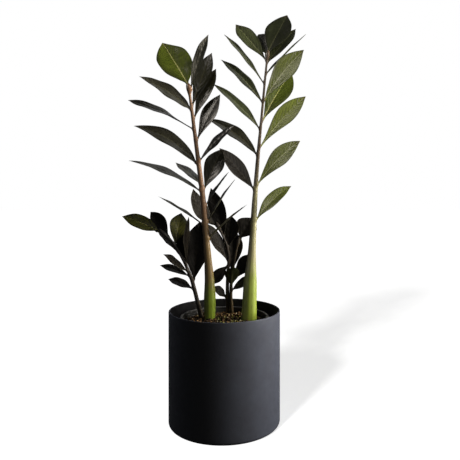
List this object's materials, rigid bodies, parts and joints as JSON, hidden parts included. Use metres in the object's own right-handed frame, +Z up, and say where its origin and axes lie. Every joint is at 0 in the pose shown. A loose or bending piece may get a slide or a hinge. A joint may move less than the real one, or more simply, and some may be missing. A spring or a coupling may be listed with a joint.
{
  "type": "potted plant",
  "caption": "Potted ZZ plant with dark glossy leaflets on upright stems, in a soil-filled nursery pot inside a plain matte charcoal cylinder planter.",
  "frame": {"origin": "centre of the planter's flat underside", "axes": "+Z up along the planter's axis, +X to the right and +Y to the back as seen from the front"},
  "size_m": [0.2552, 0.15, 0.5667],
  "materials": {
    "planter_charcoal": "matte",
    "grow_pot_plastic": "satin",
    "potting_mix": "matte",
    "stem_brown": "satin",
    "stem_green": "satin",
    "leaf_dark": "gloss",
    "leaf_green": "gloss"
  },
  "bodies": {
    "root": {"planter": "planter_charcoal", "nursery_pot": "grow_pot_plastic", "soil": "potting_mix", "stem_left_tall": "stem_brown", "stem_right_tall": "stem_green", "stem_left_short": "stem_brown", "stem_centre_short": "stem_brown", "stem_back_short": "stem_brown", "leaflet_left_tall_01": "leaf_dark", "leaflet_left_tall_02": "leaf_dark", "leaflet_left_tall_03": "leaf_dark", "leaflet_left_tall_04": "leaf_dark", "leaflet_left_tall_05": "leaf_dark", "leaflet_left_tall_06": "leaf_dark", "leaflet_left_tall_07": "leaf_dark", "leaflet_left_tall_08": "leaf_dark", "leaflet_left_tall_09": "leaf_dark", "leaflet_left_tall_10": "leaf_dark", "leaflet_left_tall_11": "leaf_dark", "leaflet_left_tall_12": "leaf_dark", "leaflet_left_tall_13": "leaf_dark", "leaflet_left_tall_14": "leaf_dark", "leaflet_left_tall_15": "leaf_dark", "leaflet_left_tall_16": "leaf_green", "leaflet_right_tall_01": "leaf_green", "leaflet_right_tall_02": "leaf_dark", "leaflet_right_tall_03": "leaf_green", "leaflet_right_tall_04": "leaf_dark", "leaflet_right_tall_05": "leaf_green", "leaflet_right_tall_06": "leaf_dark", "leaflet_right_tall_07": "leaf_green", "leaflet_right_tall_08": "leaf_dark", "leaflet_right_tall_09": "leaf_green", "leaflet_right_tall_10": "leaf_dark", "leaflet_right_tall_11": "leaf_dark", "leaflet_right_tall_12": "leaf_dark", "leaflet_right_tall_13": "leaf_dark", "leaflet_right_tall_14": "leaf_dark", "leaflet_right_tall_15": "leaf_dark", "leaflet_left_short_01": "leaf_dark", "leaflet_left_short_02": "leaf_dark", "leaflet_left_short_03": "leaf_dark", "leaflet_left_short_04": "leaf_dark", "leaflet_left_short_05": "leaf_dark", "leaflet_left_short_06": "leaf_dark", "leaflet_left_short_07": "leaf_dark", "leaflet_left_short_08": "leaf_green", "leaflet_left_short_09": "leaf_dark", "leaflet_left_short_10": "leaf_dark", "leaflet_centre_short_01": "leaf_dark", "leaflet_centre_short_02": "leaf_dark", "leaflet_centre_short_03": "leaf_dark", "leaflet_centre_short_04": "leaf_dark", "leaflet_centre_short_05": "leaf_dark", "leaflet_centre_short_06": "leaf_dark", "leaflet_back_short_01": "leaf_dark", "leaflet_back_short_02": "leaf_green", "leaflet_back_short_03": "leaf_dark", "leaflet_back_short_04": "leaf_dark", "leaflet_back_short_05": "leaf_dark"}
  },
  "joints": []
}
